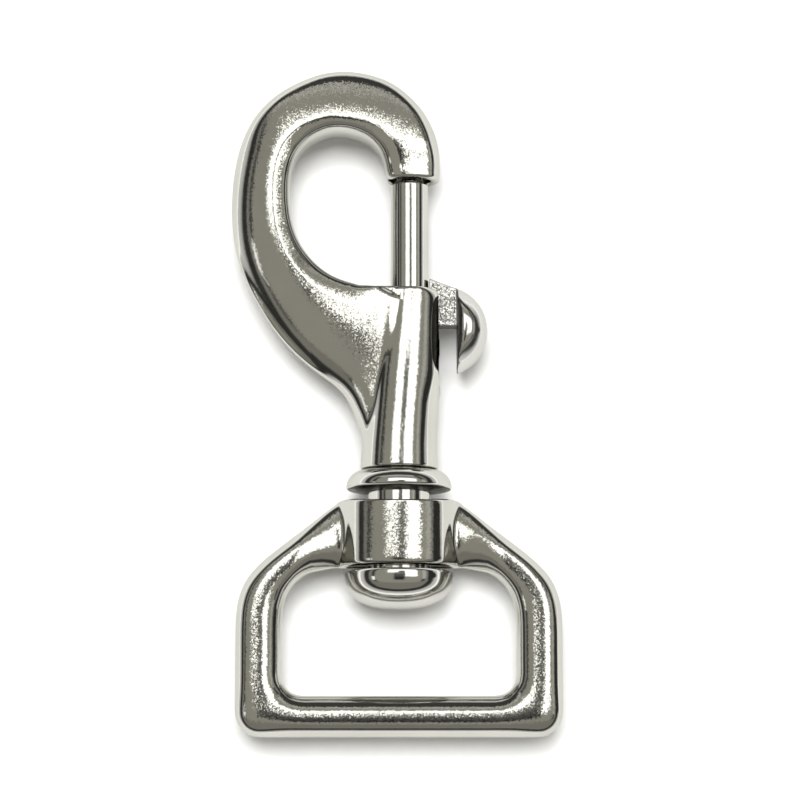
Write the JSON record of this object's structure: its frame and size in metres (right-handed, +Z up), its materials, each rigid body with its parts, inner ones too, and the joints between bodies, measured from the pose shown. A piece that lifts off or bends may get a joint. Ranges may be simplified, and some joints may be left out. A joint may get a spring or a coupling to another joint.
{
  "type": "swivel snap hook",
  "caption": "Swivel snap hook: a cast hook closed by a spring bolt with a thumb knob, turning on a riveted post in a square eye for webbing.",
  "frame": {"origin": "on the table under the swivel axis, at the middle of the bounding box's bottom", "axes": "+Y along the swivel axis towards the hook's bow, +X towards the thumb knob, +Z up from the table, square to the flat of the hook"},
  "size_m": [0.0358, 0.0726, 0.0116],
  "materials": {
    "nickel_cast": "polished nickel plate over a zinc casting, with a fine grain",
    "nickel_turned": "polished nickel plate over a turned or upset piece",
    "nickel_as_cast": "nickel plate over an unpolished, grainy casting; the domed head is polished",
    "spring_wire": "drawn spring wire"
  },
  "bodies": {
    "hook": {"hook_body": "nickel_cast", "collar_washer": "nickel_turned", "swivel_post": "nickel_turned", "bolt_spring": "spring_wire"},
    "bolt_and_knob": {"bolt": "nickel_turned", "thumb_knob": "nickel_as_cast"},
    "eye": {"square_eye": "nickel_cast"}
  },
  "joints": [
    {"name": "bolt_slide", "type": "slide", "parent": "hook", "child": "bolt_and_knob", "axis": [0, -1, 0], "range_m": [0, 0.0063], "stiffness_N_per_m": 300, "springref_m": -0.006, "deforming": ["bolt_spring"]},
    {"name": "eye_swivel", "type": "hinge", "parent": "hook", "child": "eye", "pos_m": [0, -0.0148, 0.0058], "axis": [0, 1, 0], "continuous": true}
  ]
}
